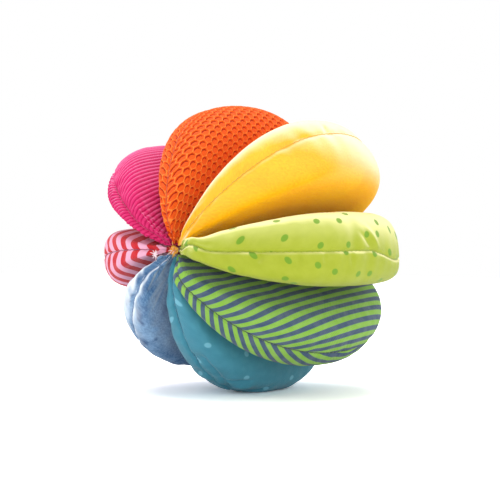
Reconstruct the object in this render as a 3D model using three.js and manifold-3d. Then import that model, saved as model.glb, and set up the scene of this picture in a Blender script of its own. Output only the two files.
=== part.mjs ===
// A stuffed fabric ball for a baby. Eight half-round petals, each sewn from two panels over a loose filling,
// are joined only at their tips, so small fingers can reach in between them and each petal can swing a little.
// One petal holds a rattle and two hold a sheet of crinkle film.
// Millimetres, +Z up. The pole axis runs along Y with the front pole at -Y, and the ball stands on its teal petal.

import * as THREE from 'three';
import { mergeVertices } from 'three/addons/utils/BufferGeometryUtils.js';
import Module from 'manifold-3d';

// The ball
const BALL_RADIUS = 60; // pole axis to a rim seam
const BALL_HALF_LENGTH = 54; // middle to the bulge of a petal, along the pole axis
const POLE_PIT = 7; // how far the sewn tips are drawn in from the bulges
const POLE_HALF_LENGTH = BALL_HALF_LENGTH - POLE_PIT; // middle to the sewn tips
const TIP_HOOK_ANGLE = 8.5; // degrees from the pole over which the tips are drawn in
const INNER_SEAM_RADIUS = 2.5; // pole axis to the closing seam of each petal
const FOOT_FLAT_DEPTH = 0.5; // how far the resting petal is pressed flat

// The swell of a petal
const SWELL_ANGLE = 18.5; // degrees from a petal's middle to its side, where it is widest
const RIM_FULLNESS = 2.25; // 2 is an ellipse, more is squarer
const CROWN_FULLNESS = 5; // the higher, the closer to the rim seam a side turns in
const LEAN_CENTRE = 0.6; // share of the radius at which a leaning petal keeps its own azimuth

// Fabric, film and thread
const COTTON = 0.8;
const JERSEY = 0.9;
const VELOUR = 1.4;
const CORDUROY = 1.4;
const PLUSH = 1.6;
const AIR_MESH = 1.8;
const FILM = 0.3;
const SEAM_STRIP = 2; // width of the sewn strip under the seam groove
const SEAM_THREAD = 0.5;
const TIE_CORD = 1.6;
const POLE_KNOT_LENGTH = 5.5;
const POLE_KNOT_PROUD = 1.5; // how far a knot stands out past the tips
const POLE_KNOT_ROUND = 0.9;

// The rattle
const RATTLE_RADIUS = 10;
const RATTLE_HALF_HEIGHT = 6;
const RATTLE_WALL = 1.2;
const RATTLE_LIP_WALL = 0.8;
const RATTLE_LIP_HEIGHT = 2;
const RATTLE_CHAMFER = 1.5;
const RATTLE_OUT = 40; // pole axis to the rattle's middle
const BEAD_RADIUS = 1.8;
const BEAD_SPACING = 4.2;

// Gaps and steps
const CLEARANCE = 0.3;
const SEAM_GAP = 0.3; // between the two panels of a petal
const STEPS_ROUND = 15; // odd, so that a step lies flat at the foot
const STEPS_ACROSS = 6;
const ROWS_TOWARDS_RIM = 2.6; // the higher, the closer the rows crowd to the rim
const GROOVE_STEPS = 3; // steps from a tip to where the seam groove is fully open
const LATHE_STEPS = 20;

// How each petal lies. reach and length are added to the ball's radius and half length, swell to its angle
// on the side of panel a and panel b, and shift moves the crown along the pole axis, in millimetres and degrees.
const PETALS = [
  { name: 'lime_dot', azimuth: 0, lean: 0, reach: 1, length: 3, shift: -1, swell: [0.5, 0.5],
    fabric: COTTON, color: 0xc8dc46, roughness: 0.85, film: true },
  { name: 'yellow_plush', azimuth: 48, lean: 2, reach: 3, length: -5, shift: -7, swell: [0.5, 1],
    fabric: PLUSH, color: 0xfac832, roughness: 0.95 },
  { name: 'orange_mesh', azimuth: 97, lean: 6, reach: 0, length: -2, shift: 2, swell: [-1.5, 1],
    fabric: AIR_MESH, color: 0xf06420, roughness: 0.9 },
  { name: 'magenta_cord', azimuth: 140, lean: 8, reach: 2, length: 4, shift: 6, swell: [-1, -1.5],
    fabric: CORDUROY, color: 0xe12878, roughness: 0.95 },
  { name: 'red_stripe', azimuth: 183, lean: 10, reach: 1, length: 2, shift: 0, swell: [-0.5, -2],
    fabric: COTTON, color: 0xd8607a, roughness: 0.85 },
  { name: 'sky_velour', azimuth: 228, lean: 8, reach: 0, length: 1, shift: 0, swell: [-0.5, 0.5],
    fabric: VELOUR, color: 0x6e96c8, roughness: 0.9 },
  { name: 'teal_dot', azimuth: 270, lean: 2, reach: 1, length: -4, shift: -4, swell: [-0.5, -1.5],
    fabric: COTTON, color: 0x3c96af, roughness: 0.8, film: true, foot: true },
  { name: 'green_stripe', azimuth: 315, lean: 0, reach: 0, length: 5, shift: -4, swell: [-0.5, -1],
    fabric: JERSEY, color: 0x6e9460, roughness: 0.9, rattle: true },
];

// The groove of a rim seam holds its thread clear of the panels, and deeper than the pressed foot
const THREAD_DEPTH = FOOT_FLAT_DEPTH + CLEARANCE + SEAM_THREAD / 2;
const GROOVE_DEPTH = THREAD_DEPTH + SEAM_THREAD + CLEARANCE;
const GROOVE_SLOPE = (SEAM_THREAD / 2 + CLEARANCE - SEAM_GAP / 2) / (GROOVE_DEPTH - THREAD_DEPTH);
const GROOVE_MOUTH = SEAM_GAP / 2 + GROOVE_SLOPE * GROOVE_DEPTH;
const CAVITY_RIM = GROOVE_DEPTH + SEAM_STRIP;

const FILLING_LOOK = { color: 0xf2efe8, roughness: 1 };
const FILM_LOOK = { color: 0xd9dde0, roughness: 0.3 };
const THREAD_LOOK = { color: 0xe8e0d0, roughness: 0.8 };
const RATTLE_LOOK = { color: 0xf4f4f0, roughness: 0.45 };
const BEAD_LOOK = { color: 0x4a4a4e, roughness: 0.4 };

const wasm = await Module();
wasm.setup();

const radians = THREE.MathUtils.degToRad;
const lerp = THREE.MathUtils.lerp;

// A mesh as a solid that can be cut, and back again
function solidOf(geometry) {
  const bare = geometry.clone();
  bare.deleteAttribute('normal');
  bare.deleteAttribute('uv');
  const merged = mergeVertices(bare);
  return new wasm.Manifold(new wasm.Mesh({
    numProp: 3,
    vertProperties: new Float32Array(merged.attributes.position.array),
    triVerts: new Uint32Array(merged.index.array),
  }));
}

function geometryOf(solid) {
  const mesh = solid.getMesh();
  const geometry = new THREE.BufferGeometry();
  geometry.setAttribute('position', new THREE.BufferAttribute(mesh.vertProperties, 3));
  geometry.setIndex(new THREE.BufferAttribute(mesh.triVerts, 1));
  geometry.computeVertexNormals();
  return geometry;
}

function addMesh(group, name, geometry, look) {
  const material = new THREE.MeshStandardMaterial({ color: look.color, roughness: look.roughness, metalness: 0 });
  const mesh = new THREE.Mesh(geometry, material);
  mesh.name = name;
  group.add(mesh);
  return mesh;
}

// A closed skin over rings of points. Rings may shrink to a point or a line, whose flat triangles are left out.
function loft(rings) {
  const points = rings.flat();
  const sides = rings[0].length;
  const geometry = new THREE.BufferGeometry().setFromPoints(points);
  const corners = [];
  for (let ring = 0; ring + 1 < rings.length; ring += 1) {
    for (let side = 0; side < sides; side += 1) {
      const here = ring * sides;
      const next = here + sides;
      const beside = (side + 1) % sides;
      corners.push(here + side, here + beside, next + beside);
      corners.push(here + side, next + beside, next + side);
    }
  }
  geometry.setIndex(corners);
  const merged = mergeVertices(geometry);
  const kept = [];
  for (let i = 0; i < merged.index.count; i += 3) {
    const [a, b, c] = [0, 1, 2].map((k) => merged.index.getX(i + k));
    if (a !== b && b !== c && c !== a) {
      kept.push(a, b, c);
    }
  }
  merged.setIndex(kept);
  merged.computeVertexNormals();
  return merged;
}

// The azimuth of a petal's middle, at a distance out from the pole axis
function azimuthAt(petal, out) {
  return radians(petal.azimuth + petal.lean * (out / BALL_RADIUS - LEAN_CENTRE));
}

// A place in a petal: along the pole axis towards the front, out from it, and aside from the petal's middle
function place(petal, along, out, aside) {
  const turn = azimuthAt(petal, out);
  return new THREE.Vector3(
    out * Math.cos(turn) - aside * Math.sin(turn),
    -along,
    out * Math.sin(turn) + aside * Math.cos(turn),
  );
}

// From the ball's middle to the rim seam, at an angle from the front pole
function rimDistance(petal, angle) {
  const halfLength = BALL_HALF_LENGTH + petal.length;
  const reach = BALL_RADIUS + petal.reach;
  const lengthways = (Math.abs(Math.cos(angle)) / halfLength) ** RIM_FULLNESS;
  const outwards = (Math.sin(angle) / reach) ** RIM_FULLNESS;
  const fromTip = Math.min(angle, Math.PI - angle) / radians(TIP_HOOK_ANGLE);
  const drawnIn = (halfLength - POLE_HALF_LENGTH) * Math.exp(-(fromTip ** 2));
  return (lengthways + outwards) ** (-1 / RIM_FULLNESS) - drawnIn;
}

// A point of a petal's flat outline. rim and depth are how far the layer lies in from the rim and from the side.
function outlinePoint(petal, rim, depth, angle, across) {
  const reach = BALL_RADIUS + petal.reach;
  const narrow = radians(SWELL_ANGLE + Math.min(...petal.swell));
  const seam = Math.hypot(INNER_SEAM_RADIUS, depth / Math.sin(narrow));
  const distance = rimDistance(petal, angle) - rim;
  const rimOut = seam + distance * Math.sin(angle) * (1 - seam / reach);
  const rimAlong = distance * Math.cos(angle) + petal.shift * Math.sin(angle) ** 2;
  const seamAlong = (POLE_HALF_LENGTH - rim) * Math.cos(angle);
  return { along: lerp(seamAlong, rimAlong, across), out: lerp(seam, rimOut, across), seam };
}

// A petal rounds out from its inner seam, so its side is steep there and straight further out
function fromInnerSeam(out) {
  return Math.sqrt(Math.max(0, out ** 2 - INNER_SEAM_RADIUS ** 2));
}

// How far the seam groove has opened, from nothing at a tip to its full size some steps away
function grooveShare(angle) {
  return Math.min(1, Math.sin(angle) / Math.sin((Math.PI * GROOVE_STEPS) / STEPS_ROUND));
}

// How far a row lies across a petal, 0 at its inner seam and 1 at its rim
function acrossAt(step) {
  return 1 - (1 - step / STEPS_ACROSS) ** ROWS_TOWARDS_RIM;
}

// A row of points over one side of a petal, from its inner seam to its rim. side is 1 for panel a, -1 for panel b.
function sideRow(petal, side, layer, angle) {
  const slope = Math.tan(radians(SWELL_ANGLE + petal.swell[side > 0 ? 0 : 1]));
  const row = [];
  for (let step = 0; step <= STEPS_ACROSS; step += 1) {
    const across = acrossAt(step);
    const { along, out, seam } = outlinePoint(petal, layer.rim, layer.depth, angle, across);
    const turnedIn = Math.sqrt(1 - across ** CROWN_FULLNESS);
    const swell = slope * (fromInnerSeam(out) - fromInnerSeam(seam)) * turnedIn;
    const lip = (layer.lip - layer.lift) * across * grooveShare(angle);
    row.push(place(petal, along, out, side * (layer.lift + lip + swell)));
  }
  return row;
}

function angles() {
  return Array.from({ length: STEPS_ROUND + 1 }, (_, step) => (Math.PI * step) / STEPS_ROUND);
}

// The layers of a petal, from its outer face inwards
function outerFace() {
  return { rim: 0, depth: 0, lift: SEAM_GAP / 2, lip: GROOVE_MOUTH };
}

function innerFace(petal, below) {
  return { rim: CAVITY_RIM + 2 * below, depth: petal.fabric + below, lift: SEAM_GAP / 2, lip: SEAM_GAP / 2 };
}

function fillingFace(petal) {
  const below = CLEARANCE + (petal.film ? FILM + CLEARANCE : 0);
  return { rim: CAVITY_RIM + 2 * below, depth: petal.fabric + below, lift: 0, lip: 0 };
}

// One fabric panel: its outer face, the slope of its seam groove, and its inner face
function panel(petal, side) {
  const rings = angles().map((angle) => {
    const groove = outlinePoint(petal, GROOVE_DEPTH * grooveShare(angle), 0, angle, 1);
    const grooveFoot = place(petal, groove.along, groove.out, (side * SEAM_GAP) / 2);
    const outer = sideRow(petal, side, outerFace(), angle);
    const inner = sideRow(petal, side, innerFace(petal, 0), angle).reverse();
    const ring = [...outer, grooveFoot, ...inner];
    return side > 0 ? ring : ring.reverse();
  });
  return loft(rings);
}

// A sheet of crinkle film that lines panel a
function crinkleFilm(petal) {
  const rings = angles().map((angle) => [
    ...sideRow(petal, 1, innerFace(petal, CLEARANCE), angle),
    ...sideRow(petal, 1, innerFace(petal, CLEARANCE + FILM), angle).reverse(),
  ]);
  return loft(rings);
}

// The whole filling of a petal
function filling(petal) {
  const face = fillingFace(petal);
  const rings = angles().map((angle) => [
    ...sideRow(petal, 1, face, angle),
    ...sideRow(petal, -1, face, angle).reverse(),
  ]);
  return loft(rings);
}

// Half of the filling, where a petal is stuffed around a rattle
function halfFilling(petal, side) {
  const face = { ...fillingFace(petal), lift: SEAM_GAP / 2, lip: SEAM_GAP / 2 };
  const rings = angles().map((angle) => {
    const top = sideRow(petal, side, face, angle);
    const base = [];
    for (let step = STEPS_ACROSS; step >= 0; step -= 1) {
      const { along, out } = outlinePoint(petal, face.rim, face.depth, angle, acrossAt(step));
      base.push(place(petal, along, out, (side * SEAM_GAP) / 2));
    }
    const ring = [...top, ...base];
    return side > 0 ? ring : ring.reverse();
  });
  return loft(rings);
}

// The thread that lies in the groove of a rim seam
function seamThread(petal) {
  const half = SEAM_THREAD / 2;
  const open = angles().slice(GROOVE_STEPS, -GROOVE_STEPS);
  const section = (angle, size) => {
    const spot = (depth) => outlinePoint(petal, depth, 0, angle, 1);
    const [top, middle, bottom] = [THREAD_DEPTH - size, THREAD_DEPTH, THREAD_DEPTH + size].map(spot);
    return [
      place(petal, middle.along, middle.out, size),
      place(petal, top.along, top.out, 0),
      place(petal, middle.along, middle.out, -size),
      place(petal, bottom.along, bottom.out, 0),
    ];
  };
  const rings = open.map((angle) => section(angle, half));
  return loft([section(open[0], 0), ...rings, section(open.at(-1), 0)]);
}

function turned(points) {
  return new THREE.LatheGeometry(points.map(([x, y]) => new THREE.Vector2(x, y)), LATHE_STEPS);
}

// The two cups of the rattle and its beads. The lip of the lower cup fits inside the upper cup.
function rattleCupUpper() {
  const bore = RATTLE_RADIUS - RATTLE_WALL;
  const roof = RATTLE_HALF_HEIGHT - RATTLE_WALL;
  return turned([
    [0, roof],
    [bore, roof],
    [bore, SEAM_GAP / 2],
    [RATTLE_RADIUS, SEAM_GAP / 2],
    [RATTLE_RADIUS, RATTLE_HALF_HEIGHT - RATTLE_CHAMFER],
    [RATTLE_RADIUS - RATTLE_CHAMFER, RATTLE_HALF_HEIGHT],
    [0, RATTLE_HALF_HEIGHT],
  ]);
}

const LIP_OUTSIDE = RATTLE_RADIUS - RATTLE_WALL - CLEARANCE;
const LIP_INSIDE = LIP_OUTSIDE - RATTLE_LIP_WALL;
const RATTLE_FLOOR = RATTLE_HALF_HEIGHT - RATTLE_WALL;

function rattleCupLower() {
  return turned([
    [0, -RATTLE_HALF_HEIGHT],
    [RATTLE_RADIUS - RATTLE_CHAMFER, -RATTLE_HALF_HEIGHT],
    [RATTLE_RADIUS, RATTLE_CHAMFER - RATTLE_HALF_HEIGHT],
    [RATTLE_RADIUS, -SEAM_GAP / 2],
    [LIP_OUTSIDE, -SEAM_GAP / 2],
    [LIP_OUTSIDE, RATTLE_LIP_HEIGHT],
    [LIP_INSIDE, RATTLE_LIP_HEIGHT],
    [LIP_INSIDE, -RATTLE_FLOOR],
    [0, -RATTLE_FLOOR],
  ]);
}

function rattlePocket() {
  const radius = RATTLE_RADIUS + CLEARANCE;
  const half = RATTLE_HALF_HEIGHT + CLEARANCE;
  return turned([[0, -half], [radius, -half], [radius, half], [0, half]]);
}

// The rattle lies in its petal with its axis across the petal's middle
function rattleGroup(petal) {
  const turn = azimuthAt(petal, RATTLE_OUT);
  const outwards = new THREE.Vector3(Math.cos(turn), 0, Math.sin(turn));
  const across = new THREE.Vector3(-Math.sin(turn), 0, Math.cos(turn));
  const along = new THREE.Vector3(0, -1, 0);
  const group = new THREE.Group();
  group.position.copy(outwards).multiplyScalar(RATTLE_OUT);
  group.quaternion.setFromRotationMatrix(new THREE.Matrix4().makeBasis(outwards, across, along));
  group.updateMatrix();
  return group;
}

// The beads lie in a row where the lower cup's floor meets its lip, which is the rattle's lowest place
function addBeads(group) {
  const room = LIP_INSIDE - BEAD_RADIUS - 2 * CLEARANCE;
  const outwards = Math.sqrt(Math.max(0, room ** 2 - BEAD_SPACING ** 2));
  [-1, 0, 1].forEach((spot, index) => {
    const bead = addMesh(group, `rattle_bead_${index + 1}`, new THREE.SphereGeometry(BEAD_RADIUS, 10, 7), BEAD_LOOK);
    bead.position.set(outwards, BEAD_RADIUS + CLEARANCE - RATTLE_FLOOR, spot * BEAD_SPACING);
  });
}

// The knot that draws the eight tips together at a pole, with its outer end at y = 0
function poleKnot() {
  const radius = INNER_SEAM_RADIUS - CLEARANCE;
  return turned([
    [0, 0],
    [radius - POLE_KNOT_ROUND, 0],
    [radius, POLE_KNOT_ROUND],
    [radius, POLE_KNOT_LENGTH - POLE_KNOT_ROUND],
    [radius - POLE_KNOT_ROUND, POLE_KNOT_LENGTH],
    [0, POLE_KNOT_LENGTH],
  ]);
}

const ball = new THREE.Group();

// The core: a knot at each pole and the cord that ties the poles to each other
const knotEnd = POLE_HALF_LENGTH + POLE_KNOT_PROUD;
addMesh(ball, 'pole_knot_front', poleKnot(), THREAD_LOOK).position.y = -knotEnd;
addMesh(ball, 'pole_knot_back', poleKnot(), THREAD_LOOK).position.y = knotEnd - POLE_KNOT_LENGTH;
const tieLength = 2 * (knotEnd - POLE_KNOT_LENGTH - CLEARANCE);
addMesh(ball, 'centre_tie', new THREE.CylinderGeometry(TIE_CORD / 2, TIE_CORD / 2, tieLength, 10), THREAD_LOOK);

// The level that the resting petal is pressed flat to, and everything above it
function footLevel(petal) {
  const lowest = [1, -1].map((side) => {
    const geometry = panel(petal, side);
    geometry.computeBoundingBox();
    return geometry.boundingBox.min.z;
  });
  return Math.min(...lowest) + FOOT_FLAT_DEPTH;
}

const floor = footLevel(PETALS.find((petal) => petal.foot));

function pressedFlat(geometry) {
  const room = 4 * (BALL_RADIUS + BALL_HALF_LENGTH);
  const above = new THREE.BoxGeometry(room, room, room);
  above.translate(0, 0, floor + room / 2);
  return geometryOf(solidOf(geometry).intersect(solidOf(above)));
}

function addPetal(petal) {
  [['a', 1], ['b', -1]].forEach(([letter, side]) => {
    const cloth = panel(petal, side);
    addMesh(ball, `${petal.name}_panel_${letter}`, petal.foot ? pressedFlat(cloth) : cloth, petal);
  });
  addMesh(ball, `${petal.name}_seam_thread`, seamThread(petal), THREAD_LOOK);
  if (petal.film) {
    addMesh(ball, `${petal.name}_crinkle_film`, crinkleFilm(petal), FILM_LOOK);
  }
  if (!petal.rattle) {
    addMesh(ball, `${petal.name}_filling`, filling(petal), FILLING_LOOK);
    return;
  }
  const rattle = rattleGroup(petal);
  ball.add(rattle);
  addMesh(rattle, 'rattle_cup_upper', rattleCupUpper(), RATTLE_LOOK);
  addMesh(rattle, 'rattle_cup_lower', rattleCupLower(), RATTLE_LOOK);
  addBeads(rattle);
  const pocket = solidOf(rattlePocket().applyMatrix4(rattle.matrix));
  [['a', 1], ['b', -1]].forEach(([letter, side]) => {
    const wad = solidOf(halfFilling(petal, side)).subtract(pocket);
    addMesh(ball, `${petal.name}_filling_${letter}`, geometryOf(wad), FILLING_LOOK);
  });
}

PETALS.forEach(addPetal);

// The pressed foot lies on the ground, below the middle of the ball
ball.position.z = -floor;

const part = new THREE.Group();
part.add(ball);

export default part;
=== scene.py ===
import math
from dataclasses import dataclass
from types import SimpleNamespace

import bpy
import numpy as np
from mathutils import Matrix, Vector


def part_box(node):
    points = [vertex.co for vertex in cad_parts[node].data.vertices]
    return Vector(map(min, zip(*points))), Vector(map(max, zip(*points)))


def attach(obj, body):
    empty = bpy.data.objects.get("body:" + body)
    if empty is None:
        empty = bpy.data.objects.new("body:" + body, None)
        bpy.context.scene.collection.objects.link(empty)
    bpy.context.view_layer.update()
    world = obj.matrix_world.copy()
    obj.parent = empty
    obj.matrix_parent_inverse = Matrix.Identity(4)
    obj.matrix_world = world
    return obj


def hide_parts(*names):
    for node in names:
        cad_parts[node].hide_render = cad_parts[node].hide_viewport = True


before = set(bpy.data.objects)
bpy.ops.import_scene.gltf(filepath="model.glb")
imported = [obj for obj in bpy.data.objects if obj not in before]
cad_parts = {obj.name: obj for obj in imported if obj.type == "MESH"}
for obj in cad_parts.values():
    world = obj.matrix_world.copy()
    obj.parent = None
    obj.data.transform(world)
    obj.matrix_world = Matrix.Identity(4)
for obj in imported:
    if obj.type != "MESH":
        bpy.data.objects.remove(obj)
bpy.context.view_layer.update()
bpy.ops.object.select_all(action="DESELECT")

# The lime petal's cover.
# Two half-moon panels of thin printed cotton, sewn face to face along the rim, turned out and stuffed, then
# closed along the straight inner seam. A sheet of film behind one panel gives it small sharp creases.

MM = 0.001

# The ball, in millimetres and degrees. The front pole points along -Y.
BALL_RADIUS = 60
BALL_HALF_LENGTH = 54
POLE_PIT = 7
POLE_HALF_LENGTH = BALL_HALF_LENGTH - POLE_PIT
TIP_HOOK_ANGLE = 8.5
INNER_SEAM_RADIUS = 2.5
SWELL_ANGLE = 18.5
RIM_FULLNESS = 2.25
CROWN_FULLNESS = 8
LEAN_CENTRE = 0.6
SIDE_FULLNESS = -0.5
SIDE_FULLNESS_FADE = 10

tie_low, tie_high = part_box("centre_tie")
BALL_CENTRE_HEIGHT = (tie_low.z + tie_high.z) / 2 / MM


@dataclass
class Petal:
    """How a petal lies: reach and length are added to the ball's radius and half length, swell to its angle
    on the side of panel a and panel b, and shift moves its crown along the pole axis."""

    name: str
    body: str
    slot: str
    azimuth: float
    lean: float
    reach: float
    length: float
    shift: float
    swell: tuple


def petal_points(petal, turn, across, side, fullness=1.0):
    """Points of one side of a petal in millimetres. turn runs from the front tip (0) to the back tip (pi),
    across from the inner seam (0) to the rim seam (1), and side is 1 for panel a or -1 for panel b."""
    half_length = BALL_HALF_LENGTH + petal.length
    reach = BALL_RADIUS + petal.reach
    lengthways = (np.abs(np.cos(turn)) / half_length) ** RIM_FULLNESS
    outwards = (np.sin(turn) / reach) ** RIM_FULLNESS
    from_tip = np.minimum(turn, math.pi - turn) / math.radians(TIP_HOOK_ANGLE)
    drawn_in = (half_length - POLE_HALF_LENGTH) * np.exp(-(from_tip**2))
    distance = (lengthways + outwards) ** (-1 / RIM_FULLNESS) - drawn_in
    rim_out = distance * np.sin(turn) * (1 - INNER_SEAM_RADIUS / reach)
    rim_along = distance * np.cos(turn) + petal.shift * np.sin(turn) ** 2
    seam_along = POLE_HALF_LENGTH * np.cos(turn)
    along = seam_along + (rim_along - seam_along) * across
    out = INNER_SEAM_RADIUS + rim_out * across
    slope = math.tan(math.radians(SWELL_ANGLE + petal.swell[0 if side > 0 else 1]))
    swell = slope * np.sqrt(np.maximum(0, out**2 - INNER_SEAM_RADIUS**2))
    swell = swell + SIDE_FULLNESS * np.minimum(1, rim_out * across / SIDE_FULLNESS_FADE)
    aside = side * fullness * swell * np.sqrt(1 - across**CROWN_FULLNESS)
    azimuth = np.radians(petal.azimuth + petal.lean * (out / BALL_RADIUS - LEAN_CENTRE))
    x = out * np.cos(azimuth) - aside * np.sin(azimuth)
    z = out * np.sin(azimuth) + aside * np.cos(azimuth) + BALL_CENTRE_HEIGHT
    return np.stack([x, -along, z], axis=-1)


def lengths_along(points):
    """How far along a line of points each one lies."""
    steps = np.linalg.norm(np.diff(points, axis=0), axis=1)
    return np.concatenate([[0], np.cumsum(steps)])


def new_piece(name, points, faces):
    """A piece of the scene, from points in millimetres and faces."""
    mesh = bpy.data.meshes.new(name)
    mesh.from_pydata((np.asarray(points) * MM).tolist(), [], faces)
    piece = bpy.data.objects.new(name, mesh)
    bpy.context.scene.collection.objects.link(piece)
    return piece


def net_faces(rows, columns, closed):
    """The faces of a net of points, row by row. In a closed net each row goes round to its first point."""
    faces = []
    for row in range(rows - 1):
        for column in range(columns if closed else columns - 1):
            here = row * columns + column
            beside = row * columns + (column + 1) % columns
            faces.append([here, beside, beside + columns, here + columns])
    return faces


def add_field(piece, name, values):
    """Stores a value for each point of a piece."""
    values = np.asarray(values, np.float32)
    piece.data.attributes.new(name, "FLOAT", "POINT").data.foreach_set("value", values)


# How the points of a row crowd towards the rim.
FINE_STEPS = 240
FINE_CROWDING = 2.6
ROW_CROWDING = 1.35


def panel_row(petal, turn, side, columns):
    """One row of a panel from its rim to its inner seam. It holds its points, how far each lies from the rim,
    also as a share of the row, and where it lies on the flat cloth, along the pole axis and out from it."""
    fine = 1 - np.linspace(0, 1, FINE_STEPS + 1) ** FINE_CROWDING
    points = petal_points(petal, turn, fine, side)
    distances = lengths_along(points)
    share = np.linspace(0, 1, columns + 1) ** ROW_CROWDING
    rim = distances[-1] * share
    row = np.stack([np.interp(rim, distances, points[:, axis]) for axis in range(3)], axis=-1)
    ends = petal_points(petal, turn, np.array([0.0, 1.0]), side, fullness=0)
    outwards = np.linalg.norm(ends[:, [0, 2]] - [0, BALL_CENTRE_HEIGHT], axis=1)
    plan = np.stack([-ends[:, 1], outwards], axis=-1)
    inwards = (plan[0] - plan[1]) / np.linalg.norm(plan[0] - plan[1])
    return SimpleNamespace(points=row, rim=rim, share=share, flat=plan[1] + inwards * rim[:, None])


def sew_cover(petal, rings=60, columns=26, subdivisions=2, shift_b=(0, 0)):
    """The sewn cover of a petal as one closed mesh, and its measures. Its fabric map holds the flat cloth in
    millimetres, which is moved by shift_b on panel b where the pattern isn't matched along the rim."""
    turns = np.linspace(0, math.pi, rings + 2)[1:-1]
    panels = [[panel_row(petal, turn, side, columns) for side in (1, -1)] for turn in turns]
    rim_run = lengths_along(np.array([panel_a.points[0] for panel_a, _ in panels]))
    tips = [petal_points(petal, np.array([end]), np.array([0.0]), 1)[0] for end in (0.0, math.pi)]
    tip_flats = [[POLE_HALF_LENGTH, 0], [-POLE_HALF_LENGTH, 0]]

    def over_petal(name, at_tips):
        """What the rows hold by that name, over panel b and panel a of each ring, and then at the tips."""
        rings_of_it = [
            np.concatenate([getattr(b, name)[columns - 1 : 0 : -1], getattr(a, name)]) for a, b in panels
        ]
        return np.concatenate(rings_of_it + [at_tips])

    ring_size = 2 * columns
    rim_place = columns - 1
    faces, fabric = [], []

    def add_face(spots, panel, tip=None):
        """Adds a face over places on the rings, and its corners on the flat cloth."""
        face = [] if tip is None else [len(panels) * ring_size + tip]
        flats = [] if tip is None else [np.array(tip_flats[tip])]
        for ring, place in spots:
            face.append(ring * ring_size + place % ring_size)
            flats.append(panels[ring][panel].flat[abs(place - rim_place)])
        faces.append(face)
        fabric.extend(flat + panel * np.array(shift_b) for flat in flats)

    for place in range(-1, ring_size - 1):
        panel = 0 if place >= rim_place else 1
        add_face([(0, place), (0, place + 1)], panel, tip=0)
        for ring in range(rings - 1):
            add_face([(ring, place), (ring + 1, place), (ring + 1, place + 1), (ring, place + 1)], panel)
        add_face([(rings - 1, place + 1), (rings - 1, place)], panel, tip=1)

    cover = new_piece(f"{petal.name}_cover", over_petal("points", tips), faces)
    cover.data.uv_layers.new(name="fabric").data.foreach_set("uv", np.array(fabric).ravel())
    sides = np.concatenate([-np.ones(columns - 1), [0], np.ones(columns - 1), [0]])
    flats = over_petal("flat", tip_flats)
    add_field(cover, "run", np.concatenate([np.repeat(rim_run, ring_size), [0, rim_run[-1]]]))
    add_field(cover, "rim", over_petal("rim", [0, 0]))
    add_field(cover, "share", over_petal("share", [0, 0]))
    add_field(cover, "side", np.concatenate([np.tile(sides, rings), [0, 0]]))
    add_field(cover, "flat_along", flats[:, 0])
    add_field(cover, "flat_out", flats[:, 1])
    face_outwards(cover)
    stuff(cover)
    divide = cover.modifiers.new("divide", "SUBSURF")
    divide.levels = divide.render_levels = subdivisions
    bpy.ops.object.modifier_apply(modifier="divide")
    return cover, measure(cover)


def face_outwards(piece):
    """Turns the faces of a closed piece outwards."""
    bpy.context.view_layer.objects.active = piece
    bpy.ops.object.mode_set(mode="EDIT")
    bpy.ops.mesh.select_all(action="SELECT")
    bpy.ops.mesh.normals_make_consistent(inside=False)
    bpy.ops.object.mode_set(mode="OBJECT")


STUFFING_FRAMES = 20
STUFFING_PRESSURE = 4
STUFFING_STRETCH = 0.02
STUFFING_CAP = 0.5
STUFFING_FROM_SEAM = 7


def points_of(piece):
    places = np.empty(3 * len(piece.data.vertices))
    piece.data.vertices.foreach_get("co", places)
    return places.reshape(-1, 3) / MM


def place_points(piece, points):
    piece.data.vertices.foreach_set("co", (points * MM).ravel())
    piece.data.update()


def stuff(cover):
    """Blows the sewn cover up as its filling does, with both seams held, and keeps the shape."""
    before = points_of(cover)
    held = cover.vertex_groups.new(name="seams")
    side = field(cover, "side")
    held.add(np.flatnonzero(np.abs(side) < 0.5).tolist(), 1.0, "REPLACE")
    cloth = cover.modifiers.new("stuffing", "CLOTH")
    cloth.settings.use_pressure = True
    cloth.settings.uniform_pressure_force = STUFFING_PRESSURE
    cloth.settings.vertex_group_mass = "seams"
    cloth.settings.shrink_min = -STUFFING_STRETCH
    cloth.settings.effector_weights.gravity = 0
    cloth.collision_settings.use_collision = False
    for step in range(1, STUFFING_FRAMES + 1):
        bpy.context.scene.frame_set(step)
    bpy.ops.object.modifier_apply(modifier="stuffing")
    bpy.context.scene.frame_set(1)
    cover.vertex_groups.clear()
    moved = points_of(cover) - before
    far = np.linalg.norm(moved, axis=1)
    cap = STUFFING_CAP * np.minimum(1, field(cover, "rim") / STUFFING_FROM_SEAM)
    place_points(cover, before + moved * np.minimum(1, cap / np.maximum(far, 1e-9))[:, None])


def field(piece, name):
    values = np.empty(len(piece.data.vertices))
    piece.data.attributes[name].data.foreach_get("value", values)
    return values


# Where a point lies on the fabric: along the rim, away from it in millimetres and as a share of its row,
# on which panel, and on the flat cloth.
FABRIC_FIELDS = ("run", "rim", "share", "side", "flat_along", "flat_out")


def measure(cover):
    """The points and normals of a cover, and where each point lies on its fabric."""
    normals = np.empty(3 * len(cover.data.vertices))
    cover.data.vertex_normals.foreach_get("vector", normals)
    fields = {name: field(cover, name) for name in FABRIC_FIELDS}
    return SimpleNamespace(points=points_of(cover), normals=normals.reshape(-1, 3), **fields)


def press(cover, cloth, height):
    """Moves the points of a cover in or out along their normals, in millimetres."""
    place_points(cover, cloth.points + cloth.normals * height[:, None])


WAVE_STRETCHES = (0.61, 0.83, 1.0, 1.37, 1.9)
WAVE_PEAK = 3


def wander(position, wavelength, seed):
    """An uneven wave of about that wavelength, between -1 and 1, the same on every run."""
    draw = np.random.default_rng(seed)
    total = np.zeros_like(position)
    for stretch, phase in zip(WAVE_STRETCHES, draw.uniform(0, 2 * math.pi, len(WAVE_STRETCHES))):
        total += np.sin(2 * math.pi * position / (wavelength * stretch) + phase)
    return total / WAVE_PEAK


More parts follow.
